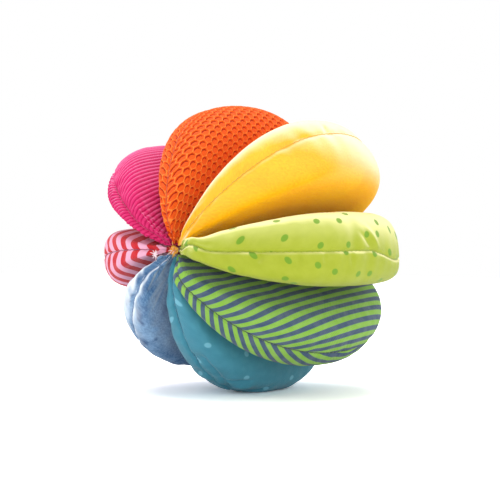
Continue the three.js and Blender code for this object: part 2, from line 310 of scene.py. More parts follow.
def seam_groove(cloth, depth=1.0, width=0.8):
    """The rim seam, drawn in between the two panels."""
    return -depth * np.exp(-((cloth.rim / width) ** 2))


# Where puckers and gathers start, and how the gathers sway, in millimetres and in folds.
PUCKERS_FROM_SEAM = 0.7
PUCKERS_FROM_TIP = 12
GATHERS_FROM_TIP = 4
GATHER_SWAY = 0.7
GATHER_SWAY_LENGTH = 14


def distance_to_tip(cloth):
    return np.minimum(cloth.run, cloth.run.max() - cloth.run)


def seam_puckers(cloth, depth, wavelength, fade, seed):
    """Small folds that run away from the rim seam, where the stitches draw the fabric up."""
    near = np.exp(-cloth.rim / fade) * (1 - np.exp(-cloth.rim / PUCKERS_FROM_SEAM))
    waves_a = wander(cloth.run, wavelength, seed)
    waves_b = wander(cloth.run, wavelength, seed + 1)
    ends = np.minimum(1, distance_to_tip(cloth) / PUCKERS_FROM_TIP)
    return depth * near * np.where(cloth.side < 0, waves_b, waves_a) * ends


def tip_gathers(cloth, depth, folds, fade):
    """Folds that run into the gathered tips."""
    from_tip = distance_to_tip(cloth)
    room = np.minimum(1, from_tip / GATHERS_FROM_TIP) * np.exp(-from_tip / fade)
    sway = GATHER_SWAY * wander(cloth.run, GATHER_SWAY_LENGTH, folds)
    waves = (np.sin(math.pi * (2 * folds * cloth.share + sway)) - 1) / 2
    return depth * room * waves * np.sin(math.pi * cloth.share) ** 0.5


def crease(cloth, panel, start, end, depth, width):
    """A crease between two places on a flat panel. A negative depth raises a fold."""
    start, end = np.array(start, float), np.array(end, float)
    flat = np.stack([cloth.flat_along, cloth.flat_out], axis=-1)
    reach = end - start
    along = np.clip((flat - start) @ reach / (reach @ reach), 0, 1)
    far = np.linalg.norm(flat - start - along[:, None] * reach, axis=1)
    taper = np.sin(math.pi * (0.08 + 0.84 * along))
    fits = cloth.side * panel > -0.01
    return np.where(fits, -depth * taper * np.exp(-((far / width) ** 2)), 0)


def creases(cloth, *rows):
    """Several creases, each with its panel, start, end, depth and width."""
    return sum(crease(cloth, *row) for row in rows)


def srgb(red, green, blue):
    """A colour as it looks on screen, 0 to 255, as the numbers that a shader takes."""
    shares = [value / 255 for value in (red, green, blue)]
    return tuple(s / 12.92 if s <= 0.04045 else ((s + 0.055) / 1.055) ** 2.4 for s in shares) + (1.0,)


def add_node(tree, kind, sockets=None, **settings):
    """Adds a node to a shader tree. A socket's value is either linked, if it is an output, or set."""
    node = tree.nodes.new(kind)
    for name, value in settings.items():
        setattr(node, name, value)
    for name, value in (sockets or {}).items():
        if isinstance(value, bpy.types.NodeSocket):
            tree.links.new(value, node.inputs[name])
        else:
            node.inputs[name].default_value = value
    return node


def maths(tree, operation, first, second=0.0):
    return add_node(tree, "ShaderNodeMath", {0: first, 1: second}, operation=operation).outputs[0]


def ramp(tree, value, low, high, start=0.0, end=1.0):
    """A value that goes smoothly from start to end as another goes from low to high."""
    sockets = {"Value": value, "From Min": low, "From Max": high, "To Min": start, "To Max": end}
    return add_node(tree, "ShaderNodeMapRange", sockets, interpolation_type="SMOOTHSTEP").outputs["Result"]


def blend_colours(tree, share, first, second):
    node = add_node(tree, "ShaderNodeMix", data_type="RGBA")
    for socket, value in ((node.inputs[0], share), (node.inputs[6], first), (node.inputs[7], second)):
        if isinstance(value, bpy.types.NodeSocket):
            tree.links.new(value, socket)
        else:
            socket.default_value = value
    return node.outputs[2]


def new_material(name, roughness, sheen=0.0, sheen_roughness=0.5, specular=0.2):
    """A material with its shader. Returns both, and the tree that they are in."""
    material = bpy.data.materials.new(name)
    material.use_nodes = True
    shader = material.node_tree.nodes["Principled BSDF"]
    shader.inputs["Roughness"].default_value = roughness
    shader.inputs["Sheen Weight"].default_value = sheen
    shader.inputs["Sheen Roughness"].default_value = sheen_roughness
    shader.inputs["Specular IOR Level"].default_value = specular
    return material, shader, material.node_tree


def paint(tree, shader, colour):
    tree.links.new(colour, shader.inputs["Base Color"])


def object_place(tree):
    return add_node(tree, "ShaderNodeTexCoord").outputs["Object"]


def new_group(name, inputs, outputs):
    """A shader node group with named values in and out."""
    group = bpy.data.node_groups.new(name, "ShaderNodeTree")
    for socket, kind in inputs:
        group.interface.new_socket(socket, in_out="INPUT", socket_type=kind)
    for socket, kind in outputs:
        group.interface.new_socket(socket, in_out="OUTPUT", socket_type=kind)
    return group, group.nodes.new("NodeGroupInput").outputs, group.nodes.new("NodeGroupOutput").inputs


def plain_weave_group():
    """Threads over and under each other, and the slow unevenness of a dyed cloth."""
    inputs = (("Fabric", "NodeSocketVector"), ("Threads per mm", "NodeSocketFloat"))
    outputs = (("Height", "NodeSocketFloat"), ("Tone", "NodeSocketFloat"))
    group, given, wanted = new_group("plain weave", inputs, outputs)
    axes = add_node(group, "ShaderNodeSeparateXYZ", {"Vector": given["Fabric"]}).outputs
    turns = maths(group, "MULTIPLY", given["Threads per mm"], math.pi)
    warp = maths(group, "SINE", maths(group, "MULTIPLY", axes["X"], turns))
    weft = maths(group, "SINE", maths(group, "MULTIPLY", axes["Y"], turns))
    group.links.new(maths(group, "MULTIPLY", warp, weft), wanted["Height"])
    mottle = add_node(group, "ShaderNodeTexNoise", {"Vector": given["Fabric"], "Scale": 0.25, "Detail": 3.0})
    group.links.new(ramp(group, mottle.outputs["Fac"], 0.3, 0.7), wanted["Tone"])
    return group


plain_weave = plain_weave_group()


def fabric_map(tree):
    return add_node(tree, "ShaderNodeUVMap", uv_map="fabric").outputs["UV"]


def place_group(tree, group, sockets):
    return add_node(tree, "ShaderNodeGroup", sockets, node_tree=group).outputs


def add_bump(tree, shader, height, distance):
    """Fine relief, of a given height in millimetres."""
    bump = add_node(tree, "ShaderNodeBump", {"Height": height, "Distance": distance * MM})
    tree.links.new(bump.outputs["Normal"], shader.inputs["Normal"])


def painted_highlight(tree, colour, pale, turn=(0.25, 0.9), rise=(-0.1, 0.6), bloom=0.0):
    """A painted highlight: a colour that gets paler where the cloth faces up and turns away from sight,
    standing in for light that its fibres catch there. Each is given as where it starts and where it is full.
    bloom is the share of painted highlight that shows wherever the cloth faces up."""
    turned = add_node(tree, "ShaderNodeLayerWeight", {"Blend": 0.5}).outputs["Facing"]
    normal = add_node(tree, "ShaderNodeTexCoord").outputs["Normal"]
    upward = add_node(tree, "ShaderNodeSeparateXYZ", {"Vector": normal}).outputs["Z"]
    edge = maths(tree, "MAXIMUM", ramp(tree, turned, *turn), bloom)
    share = maths(tree, "MULTIPLY", edge, ramp(tree, upward, *rise))
    return blend_colours(tree, share, colour, pale)


DOT_EDGE = 0.25
DOT_COVER = 0.92


def dotted_cotton(name, ground, ground_light, dot, pale, spacing, radius):
    """Thin plain-woven cotton printed with scattered dots."""
    material, shader, tree = new_material(name, roughness=0.6, sheen=0.15, sheen_roughness=0.4, specular=0.3)
    fabric = fabric_map(tree)
    weave = place_group(tree, plain_weave, {"Fabric": fabric, "Threads per mm": 3.2})
    cells = {"Vector": fabric, "Scale": 1 / spacing, "Randomness": 0.6}
    scatter = add_node(tree, "ShaderNodeTexVoronoi", cells, voronoi_dimensions="2D").outputs["Distance"]
    edge = DOT_EDGE / spacing
    print_share = ramp(tree, scatter, radius / spacing - edge, radius / spacing + edge, 1.0, 0.0)
    cloth = blend_colours(tree, weave["Tone"], ground, ground_light)
    # Painted highlight: paler towards the pale colour where the cloth faces up and turns away from sight.
    lit = painted_highlight(tree, cloth, pale, turn=(0.05, 0.6), bloom=0.25)
    printed = blend_colours(tree, maths(tree, "MULTIPLY", print_share, DOT_COVER), lit, dot)
    paint(tree, shader, printed)
    add_bump(tree, shader, weave["Height"], 0.05)
    return material


def bend_rim(cover, cloth, lift, fade):
    """Moves the rim seam up or down by a lift for each point, which fades away from the seam."""
    points = points_of(cover)
    points[:, 2] += lift * np.exp(-((cloth.rim / fade) ** 2))
    place_points(cover, points)


def smooth_step(value, low, high):
    share = np.clip((value - low) / (high - low), 0, 1)
    return share * share * (3 - 2 * share)


def rim_line(cover, cloth):
    """The points of the rim seam, from the front tip to the back tip."""
    on_rim = np.flatnonzero(cloth.rim < 0.01)
    ordered = on_rim[np.argsort(cloth.run[on_rim])]
    return points_of(cover)[ordered]


def finish_cover(petal, cover, cloth, material):
    """Smooths and colours a cover, parents it to its petal's body, hides the panels that it replaces, and
    returns the line of its rim seam.
    """
    rim = rim_line(cover, cloth)
    for name in FABRIC_FIELDS:
        cover.data.attributes.remove(cover.data.attributes[name])
    cover.data.shade_smooth()
    cover.data.materials.append(material)
    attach(cover, petal.body)
    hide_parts(f"{petal.name}_panel_a", f"{petal.name}_panel_b")
    return rim


# The rim seam droops at the outer end and is folded up near the front tip, in millimetres.
LIME_DROOP = 4.5
LIME_DROOP_STARTS = (0, 28)
LIME_DROOP_ENDS = (-52, -34)
LIME_TIP_LIFT = 2.5
LIME_TIP_FOLD = 13
LIME_TIP_FOLD_WIDTH = 6
LIME_BEND_FADE = 12

lime = Petal("lime_dot", "lime_petal", "lime_cotton", 0, 0, 1, 3, -1, (1.5, 0.5))
lime_cover, lime_cloth = sew_cover(lime, shift_b=(41, 17))
lime_relief = seam_groove(lime_cloth, 0.7, 0.6) + seam_puckers(lime_cloth, 0.6, 12, 7, seed=3)
lime_relief += tip_gathers(lime_cloth, 1.0, 3, 14)
lime_relief += creases(
    lime_cloth,
    (-1, (44, 42), (43.5, 37), 0.6, 0.9),
    (-1, (32.5, 52), (31.5, 46), 0.6, 0.9),
    (-1, (22.5, 57), (22, 52), 0.5, 0.9),
    (-1, (9.5, 60), (8.5, 54), 0.6, 0.9),
    (1, (0, 51), (-8, 60), -0.8, 1.5),
    (1, (4, 53), (-3, 60.5), 0.6, 1.0),
    (-1, (50, 6), (53.5, 16), -0.9, 1.6),
)
press(lime_cover, lime_cloth, lime_relief)
lime_droop = -LIME_DROOP * smooth_step(-lime_cloth.flat_along, *LIME_DROOP_STARTS)
lime_droop *= smooth_step(lime_cloth.flat_along, *LIME_DROOP_ENDS)
lime_lift = LIME_TIP_LIFT * np.exp(-(((lime_cloth.run - LIME_TIP_FOLD) / LIME_TIP_FOLD_WIDTH) ** 2))
bend_rim(lime_cover, lime_cloth, lime_droop + lime_lift, fade=LIME_BEND_FADE)
# The pale colour is the painted highlight of the lime cloth.
lime_cotton = dotted_cotton(
    "lime cotton",
    ground=srgb(158, 170, 36), ground_light=srgb(164, 175, 44),
    dot=srgb(104, 150, 26), pale=srgb(240, 236, 162), spacing=10.5, radius=1.35,
)
lime_rim = finish_cover(lime, lime_cover, lime_cloth, lime_cotton)

# The yellow petal's cover.
# Two panels of short-pile plush sewn along the rim. The pile hides the stitches, so the seam is a soft line.


def pile_group():
    """Short standing fibres: fine grain, and soft patches where the pile leans one way or the other."""
    inputs = (
        ("Fabric", "NodeSocketVector"),
        ("Fibres per mm", "NodeSocketFloat"),
        ("Patch per mm", "NodeSocketFloat"),
    )
    outputs = (("Height", "NodeSocketFloat"), ("Lean", "NodeSocketFloat"))
    group, given, wanted = new_group("pile", inputs, outputs)
    fibres = {"Vector": given["Fabric"], "Scale": given["Fibres per mm"], "Detail": 4.0, "Roughness": 0.6}
    grain = add_node(group, "ShaderNodeTexNoise", fibres).outputs["Fac"]
    patches = {"Vector": given["Fabric"], "Scale": given["Patch per mm"], "Detail": 4.0, "Distortion": 0.6}
    leaning = add_node(group, "ShaderNodeTexNoise", patches).outputs["Fac"]
    group.links.new(grain, wanted["Height"])
    group.links.new(ramp(group, leaning, 0.35, 0.65), wanted["Lean"])
    return group


pile = pile_group()


def plush(name, deep, light, tip):
    material, shader, tree = new_material(name, roughness=0.95, sheen=0.2, sheen_roughness=0.3, specular=0.0)
    shader.inputs["Sheen Tint"].default_value = tip
    fibres = place_group(tree, pile, {"Fabric": fabric_map(tree), "Fibres per mm": 1.1, "Patch per mm": 0.05})
    share = maths(tree, "MULTIPLY", fibres["Lean"], 0.45)
    grain = ramp(tree, fibres["Height"], 0.3, 0.7, 0.0, 0.55)
    colour = blend_colours(tree, maths(tree, "ADD", share, grain), deep, light)
    # Painted highlight: paler towards the tip colour where the plush faces up and turns away from sight.
    paint(tree, shader, painted_highlight(tree, colour, tip, turn=(0.12, 0.75), rise=(-0.9, 0.5), bloom=0.08))
    add_bump(tree, shader, fibres["Height"], 0.5)
    return material


yellow = Petal("yellow_plush", "yellow_petal", "yellow_plush", 48, 2, 3, -5, -7, (0.5, 3))
yellow_cover, yellow_cloth = sew_cover(yellow)
yellow_relief = seam_groove(yellow_cloth, 0.35, 1.6) + seam_puckers(yellow_cloth, 0.3, 13, 6, seed=11)
yellow_relief += tip_gathers(yellow_cloth, 0.8, 2, 12)
yellow_relief += crease(yellow_cloth, 1, (0.5, 62), (-2, 57), 0.6, 1.1)
press(yellow_cover, yellow_cloth, yellow_relief)
# The last colour is both the sheen tint and the painted highlight.
yellow_plush = plush("yellow plush", srgb(244, 164, 0), srgb(252, 190, 8), srgb(255, 238, 200))
yellow_rim = finish_cover(yellow, yellow_cover, yellow_cloth, yellow_plush)

# The orange petal's cover.
# Two panels of spacer mesh: a thick knitted net of small cells over a backing, so each cell is a soft pit.

CELL_PITCH = 3.3
CELL_DEPTH = 0.8
CELL_WALL_SLOPE = 0.8
CELLS_FROM_RIM = 2

# The depth of a cell's middle, of its slope and of the hollow under its outer wall, as shares of the whole.
CELL_MIDDLE = 0.3
CELL_SLOPE = 0.3
CELL_HOLLOW = 0.55


def honeycomb(along, out):
    """The cells of the mesh: how close points are to a cell's wall, from 0 to 1, and how far outwards from
    the middle of their cell they lie, from -0.5 to 0.5."""
    column = math.sqrt(3)
    nearest = np.full(len(along), np.inf)
    second = np.full(len(along), np.inf)
    outer = np.zeros(len(along))
    for offset in (0.0, 0.5):
        x = along / CELL_PITCH / column - offset
        y = out / CELL_PITCH - offset
        for step_x in (0, 1):
            for step_y in (0, 1):
                from_y = y - np.floor(y) - step_y
                far = np.hypot((x - np.floor(x) - step_x) * column, from_y)
                second = np.minimum(second, np.maximum(nearest, far))
                outer = np.where(far < nearest, from_y, outer)
                nearest = np.minimum(nearest, far)
    return 1 - np.clip((second - nearest) / CELL_WALL_SLOPE, 0, 1), outer


def spacer_mesh(name, floor_colour, shaded_backing, wall):
    material, shader, tree = new_material(name, roughness=0.8, sheen=0.05)
    pit = add_node(tree, "ShaderNodeAttribute", attribute_name="pit").outputs["Fac"]
    weave = place_group(tree, plain_weave, {"Fabric": fabric_map(tree), "Threads per mm": 2.2})
    # Painted shade: pits darken towards their deepest part, under the outer wall, partly backing and partly
    # shade.
    cell = blend_colours(tree, ramp(tree, pit, 0.45, 0.9), floor_colour, shaded_backing)
    # The walls are lighter, partly their yarn and partly a painted highlight on their tops.
    paint(tree, shader, blend_colours(tree, ramp(tree, pit, 0.0, 0.2), wall, cell))
    add_bump(tree, shader, weave["Height"], 0.12)
    return material


orange = Petal("orange_mesh", "orange_petal", "orange_mesh", 97, 6, 0, -2, 2, (-1.5, 1))
orange_cover, orange_cloth = sew_cover(orange, rings=56, columns=28, subdivisions=3)
orange_walls, orange_outer = honeycomb(orange_cloth.flat_along, orange_cloth.flat_out)
orange_hollows = smooth_step(orange_outer, -0.1, 0.25) * smooth_step(orange_walls, 0.15, 0.55)
orange_pits = CELL_MIDDLE + CELL_SLOPE * orange_outer + CELL_HOLLOW * orange_hollows
orange_pits *= 1 - smooth_step(orange_walls, 0.7, 0.95)
# The pits' depth also goes to the shader, which paints the deep parts darker as painted shade.
add_field(orange_cover, "pit", orange_pits)
orange_relief = seam_groove(orange_cloth, 0.7, 0.7) + tip_gathers(orange_cloth, 0.8, 3, 10)
orange_relief -= CELL_DEPTH * orange_pits * np.minimum(1, orange_cloth.rim / CELLS_FROM_RIM)
press(orange_cover, orange_cloth, orange_relief)
# The second colour is the backing in the deep pits, darkened further as painted shade.
orange_mesh = spacer_mesh("orange mesh", srgb(232, 86, 12), srgb(180, 40, 4), srgb(242, 130, 46))
orange_rim = finish_cover(orange, orange_cover, orange_cloth, orange_mesh)

# The magenta petal's cover.
# Two panels of corduroy with the ribs along the inner seam, so that they meet in a chevron on the rim.
# The thick cloth bunches up in folds where it is gathered into the pole.

RIB_PITCH = 1.75
RIB_HEIGHT = 0.55
RIB_ROUNDNESS = 0.7


def corduroy(name, groove, rib, tip):
    material, shader, tree = new_material(name, roughness=0.95, sheen=0.2, sheen_roughness=0.35, specular=0.0)
    shader.inputs["Sheen Tint"].default_value = tip
    height = add_node(tree, "ShaderNodeAttribute", attribute_name="rib").outputs["Fac"]
    fibres = place_group(tree, pile, {"Fabric": fabric_map(tree), "Fibres per mm": 3.0, "Patch per mm": 0.05})
    lean = maths(tree, "MULTIPLY", fibres["Lean"], 0.25)
    # Painted shade: the grooves between the ribs are painted darker than the rib tops.
    shade = maths(tree, "ADD", ramp(tree, height, 0.2, 0.9, 0.0, 0.75), lean)
    # Painted highlight: paler towards the tip colour where the cloth faces up and turns away from sight.
    paint(tree, shader, painted_highlight(tree, blend_colours(tree, shade, groove, rib), tip))
    add_bump(tree, shader, fibres["Height"], 0.2)
    return material


magenta = Petal("magenta_cord", "magenta_petal", "magenta_corduroy", 140, 8, 2, 4, 6, (-1, -1.5))
magenta_cover, magenta_cloth = sew_cover(magenta, rings=46, columns=24, subdivisions=3)
magenta_ribs = np.abs(np.sin(math.pi * magenta_cloth.flat_out / RIB_PITCH)) ** RIB_ROUNDNESS
add_field(magenta_cover, "rib", magenta_ribs)
magenta_relief = seam_groove(magenta_cloth, 1.1, 1.0) + seam_puckers(magenta_cloth, 0.4, 8, 5, seed=21)
magenta_relief += tip_gathers(magenta_cloth, 1.4, 4, 14)
magenta_relief += RIB_HEIGHT * (magenta_ribs - 1)
press(magenta_cover, magenta_cloth, magenta_relief)
# The first colour is the painted shade in the grooves; the last is the sheen tint and painted highlight.
magenta_cord = corduroy("magenta corduroy", srgb(180, 14, 76), srgb(220, 58, 118), srgb(226, 126, 168))
magenta_rim = finish_cover(magenta, magenta_cover, magenta_cloth, magenta_cord)

# The red striped petal's cover.
# Two panels of smooth woven cotton with the stripes along the inner seam, matched along the rim.


CLOTH_WEAR = 0.04


def striped_cloth(name, first, second, pitch, offset, share, edge, threads, slant=0.0, bow=0.0):
    """Cloth with stripes of two colours along the inner seam, or aslant to it and bowed."""
    material, shader, tree = new_material(name, roughness=0.75, sheen=0.12, sheen_roughness=0.35)
    fabric = fabric_map(tree)
    weave = place_group(tree, plain_weave, {"Fabric": fabric, "Threads per mm": threads})
    axes = add_node(tree, "ShaderNodeSeparateXYZ", {"Vector": fabric}).outputs
    rise = maths(tree, "ADD", maths(tree, "MULTIPLY", axes["X"], bow), slant)
    out = maths(tree, "SUBTRACT", axes["Y"], maths(tree, "MULTIPLY", axes["X"], rise))
    place = maths(tree, "FRACT", maths(tree, "ADD", maths(tree, "DIVIDE", out, pitch), offset))
    middle = maths(tree, "ABSOLUTE", maths(tree, "SUBTRACT", place, 0.5))
    stripe = ramp(tree, middle, share / 2 - edge / pitch, share / 2 + edge / pitch, 1.0, 0.0)
    colour = blend_colours(tree, stripe, second, first)
    worn = blend_colours(tree, maths(tree, "MULTIPLY", weave["Tone"], CLOTH_WEAR), colour, (1, 1, 1, 1))
    paint(tree, shader, worn)
    add_bump(tree, shader, weave["Height"], 0.08)
    return material


red = Petal("red_stripe", "red_petal", "red_striped_cotton", 183, 10, 1, 2, 0, (-0.5, -2))
red_cover, red_cloth = sew_cover(red)
red_relief = seam_groove(red_cloth, 0.5, 0.6) + seam_puckers(red_cloth, 0.4, 11, 5, seed=31)
red_relief += tip_gathers(red_cloth, 0.8, 2, 12)
press(red_cover, red_cloth, red_relief)
red_cotton = striped_cloth(
    "red striped cotton",
    first=srgb(200, 2, 24), second=srgb(238, 172, 200),
    pitch=6.4, offset=0.3, share=0.5, edge=0.12, threads=3.2,
)
red_rim = finish_cover(red, red_cover, red_cloth, red_cotton)

# The sky blue petal's cover.
# Two panels of crushed velour, whose short pile lies every way in darker smears and paler patches.


def crushed_velour(name, deep, middle, light, tip):
    material, shader, tree = new_material(name, roughness=0.9, sheen=0.3, sheen_roughness=0.3, specular=0.0)
    shader.inputs["Sheen Tint"].default_value = tip
    fabric = fabric_map(tree)
    fibres = place_group(tree, pile, {"Fabric": fabric, "Fibres per mm": 1.1, "Patch per mm": 0.045})
    smears = {"Vector": fabric, "Scale": 0.1, "Detail": 4.0, "Distortion": 0.9}
    crushed = add_node(tree, "ShaderNodeTexNoise", smears).outputs["Fac"]
    lean = maths(tree, "MULTIPLY", fibres["Lean"], 0.7)
    grain = ramp(tree, fibres["Height"], 0.3, 0.7, 0.0, 0.4)
    ground = blend_colours(tree, maths(tree, "ADD", lean, grain), middle, light)
    marked = blend_colours(tree, ramp(tree, crushed, 0.5, 0.68, 0.0, 0.85), ground, deep)
    # Painted highlight: paler towards the tip colour where the velour faces up and turns away from sight.
    paint(tree, shader, painted_highlight(tree, marked, tip, turn=(0.12, 0.65), rise=(-0.85, 0.1)))
    add_bump(tree, shader, fibres["Height"], 0.2)
    return material


sky = Petal("sky_velour", "sky_petal", "sky_velour", 228, 8, 0, 1, 0, (-0.5, 2))
sky_cover, sky_cloth = sew_cover(sky)
sky_relief = seam_groove(sky_cloth, 0.6, 1.3) + seam_puckers(sky_cloth, 0.6, 12, 8, seed=41)
sky_relief += tip_gathers(sky_cloth, 1.4, 2, 16)
sky_relief += creases(
    sky_cloth,
    (1, (45, 32.5), (38, 29), 0.5, 0.8),
    (1, (43, 39.5), (33.5, 37.5), 0.5, 0.8),
)
press(sky_cover, sky_cloth, sky_relief)
# The tip colour is both the sheen tint and the painted highlight.
sky_velour = crushed_velour(
    "sky velour",
    deep=srgb(32, 68, 114), middle=srgb(42, 82, 126), light=srgb(134, 168, 202), tip=srgb(232, 242, 250),
)
sky_rim = finish_cover(sky, sky_cover, sky_cloth, sky_velour)

# The teal petal's cover, which the ball stands on.
# Two panels of thin printed cotton over crinkle film, pressed flat below and creased by the weight above.

FOOT_ROUNDING = 0.3


def stand(cover):
    """Presses the lowest part of a cover flat on the ground."""
    points = points_of(cover)
    points[:, 2] = (points[:, 2] + np.hypot(points[:, 2], FOOT_ROUNDING)) / 2
    place_points(cover, points)


teal = Petal("teal_dot", "teal_petal", "teal_cotton", 270, 2, 1, -4, -4, (1.5, -1.5))
teal_cover, teal_cloth = sew_cover(teal, shift_b=(33, 23))
teal_relief = seam_groove(teal_cloth) + seam_puckers(teal_cloth, 0.7, 12, 8, seed=51)
teal_relief += tip_gathers(teal_cloth, 1.0, 3, 14)
teal_relief += creases(
    teal_cloth,
    (1, (35, 39), (24, 48.5), 1.4, 1.0),
    (1, (24, 48.5), (14.5, 44), 1.3, 1.0),
    (1, (24, 48.5), (15, 56), 1.4, 1.0),
    (1, (12, 55.5), (2.5, 47), 1.1, 1.2),
    (1, (20, 52), (12, 47), -1.1, 1.8),
)
press(teal_cover, teal_cloth, teal_relief)
stand(teal_cover)
# The pale colour is the painted highlight of the teal cloth.
teal_cotton = dotted_cotton(
    "teal cotton",
    ground=srgb(58, 130, 151), ground_light=srgb(66, 138, 159),
    dot=srgb(112, 178, 198), pale=srgb(72, 142, 166), spacing=14, radius=1.15,
)
teal_rim = finish_cover(teal, teal_cover, teal_cloth, teal_cotton)

# The green striped petal's cover.
# Two panels of striped cotton jersey with the stripes aslant to the inner seam and a little bowed, matched
# along the rim. The rattle is in this petal.

green = Petal("green_stripe", "green_petal", "green_striped_jersey", 315, 0, 0, 5, -4, (-0.5, -1))
green_cover, green_cloth = sew_cover(green)
green_relief = seam_groove(green_cloth, 0.8, 0.7) + seam_puckers(green_cloth, 0.3, 10, 5, seed=61)
green_relief += tip_gathers(green_cloth, 0.8, 2, 12)
press(green_cover, green_cloth, green_relief)
green_jersey = striped_cloth(
    "green striped jersey",
    first=srgb(60, 80, 106), second=srgb(128, 176, 64),
    pitch=4.4, offset=0.0, share=0.5, edge=0.15, threads=2.0, slant=0.16, bow=0.0018,
)
green_rim = finish_cover(green, green_cover, green_cloth, green_jersey)

# The rim seams' threads.
# Sewing thread in each petal's own colour, one stitch after another across the sunk seam line.

STITCH_LENGTH = 2.4
STITCH_STEPS = 6
STITCH_WIDTH = 0.25
THREAD_RADIUS = 0.16
THREAD_LIFT = 0.6
THREAD_FROM_TIP = 14


def strand(points, radius, sides=6):
    """The corners and faces of a round strand along a line of points, closed at both ends."""
    points = np.asarray(points, float)
    tangents = np.gradient(points, axis=0)
    tangents /= np.linalg.norm(tangents, axis=1, keepdims=True)
    radii = np.broadcast_to(radius, len(points))
    normal = np.cross(tangents[0], [0.3, 0.5, 0.8])
    angles = np.arange(sides) * 2 * math.pi / sides
    corners = []
    for point, tangent, size in zip(points, tangents, radii):
        normal = normal - tangent * (normal @ tangent)
        normal = normal / np.linalg.norm(normal)
        beside = np.cross(tangent, normal)
        corners.extend(point + size * (math.cos(a) * normal + math.sin(a) * beside) for a in angles)
    faces = net_faces(len(points), sides, closed=True)
    faces.append(list(range(sides))[::-1])
    faces.append([len(corners) - sides + side for side in range(sides)])
    return corners, faces


def strands_piece(name, strands, shades=None):
    """One piece of several strands. Each may have a shade of its own, from 0 to 1, for its dye."""
    corners, faces, dyes = [], [], []
    for index, (strand_corners, strand_faces) in enumerate(strands):
        faces.extend([[corner + len(corners) for corner in face] for face in strand_faces])
        corners.extend(strand_corners)
        dyes.extend([shades[index] if shades else 0.0] * len(strand_corners))
    piece = new_piece(name, corners, faces)
    add_field(piece, "dye", dyes)
    piece.data.shade_smooth()
    return piece


def even_points(points, step):
    """Points at an even step along a line."""
    distances = lengths_along(points)
    wanted = np.arange(0, distances[-1], step)
    return np.stack([np.interp(wanted, distances, points[:, axis]) for axis in range(3)], axis=-1)


def twisted_thread(name, colours):
    """Spun thread. The dye of each strand goes through the colours."""
    material, shader, tree = new_material(name, roughness=0.7, sheen=0.4)
    dye = add_node(tree, "ShaderNodeAttribute", attribute_name="dye").outputs["Fac"]
    colour = colours[0]
    for index, next_colour in enumerate(colours[1:]):
        share = ramp(tree, dye, (index + 0.45) / len(colours[1:]), (index + 0.55) / len(colours[1:]))
        colour = blend_colours(tree, share, colour, next_colour)
    place = object_place(tree)
    twist = {"Vector": place, "Scale": 900.0, "Distortion": 1.5, "Detail": 2.0}
    fibres = add_node(tree, "ShaderNodeTexWave", twist).outputs["Fac"]
    worn = blend_colours(tree, maths(tree, "MULTIPLY", fibres, 0.25), colour, (0.02, 0.02, 0.02, 1))
    paint(tree, shader, worn)
    add_bump(tree, shader, fibres, 0.06)
    return material


def seam_thread(petal, rim, colour):
    """The stitches of one rim seam, from side to side of its groove."""
    line = even_points(rim, STITCH_LENGTH / STITCH_STEPS)
    left_out = int(THREAD_FROM_TIP / STITCH_LENGTH * STITCH_STEPS)
    line = line[left_out:-left_out]
    azimuth = math.radians(petal.azimuth)
    beside = np.array([-math.sin(azimuth), 0, math.cos(azimuth)])
    outwards = line - [0, 0, BALL_CENTRE_HEIGHT]
    outwards /= np.linalg.norm(outwards, axis=1, keepdims=True)
    swing = np.sin(np.arange(len(line)) * 2 * math.pi / STITCH_STEPS)[:, None]
    path = line + outwards * THREAD_RADIUS * THREAD_LIFT + beside * swing * STITCH_WIDTH / 2
    piece = strands_piece(f"{petal.name}_stitches", [strand(path, THREAD_RADIUS)])
    piece.data.materials.append(twisted_thread(f"{petal.name} thread", [colour]))
    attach(piece, petal.body)
    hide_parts(f"{petal.name}_seam_thread")


seam_thread(lime, lime_rim, srgb(158, 172, 50))
seam_thread(yellow, yellow_rim, srgb(222, 168, 36))
seam_thread(orange, orange_rim, srgb(215, 90, 30))
seam_thread(magenta, magenta_rim, srgb(195, 40, 100))
seam_thread(red, red_rim, srgb(160, 60, 95))
seam_thread(sky, sky_rim, srgb(85, 120, 165))
seam_thread(teal, teal_rim, srgb(50, 120, 145))
seam_thread(green, green_rim, srgb(60, 80, 60))

# The crinkle film of the lime and teal petals.
# A thin sheet of plastic film, crumpled by handling, that lines panel a of each and rustles when it is
# squeezed.

FILM_THICKNESS = 0.15
FILM_STEPS = 40
FILM_ENDS = (0.21, 0.79)
FILM_ACROSS = (0.18, 0.9)
FILM_FULLNESS = 0.8
FILM_CRUMPLED_FULLNESS = 0.75

# The size of the film lengthways and across, and of its crumples, in millimetres.
FILM_SPANS = (40, 50)
FILM_CRUMPLES = (9, 8)


def film_plastic():
    material, shader, tree = new_material("crinkle film", roughness=0.3, specular=0.5)
    place = object_place(tree)
    facets = add_node(tree, "ShaderNodeTexVoronoi", {"Vector": place, "Scale": 160.0}).outputs["Distance"]
    colour = blend_colours(tree, facets, srgb(205, 210, 214), srgb(236, 240, 242))
    paint(tree, shader, colour)
    add_bump(tree, shader, facets, 0.4)
    return material


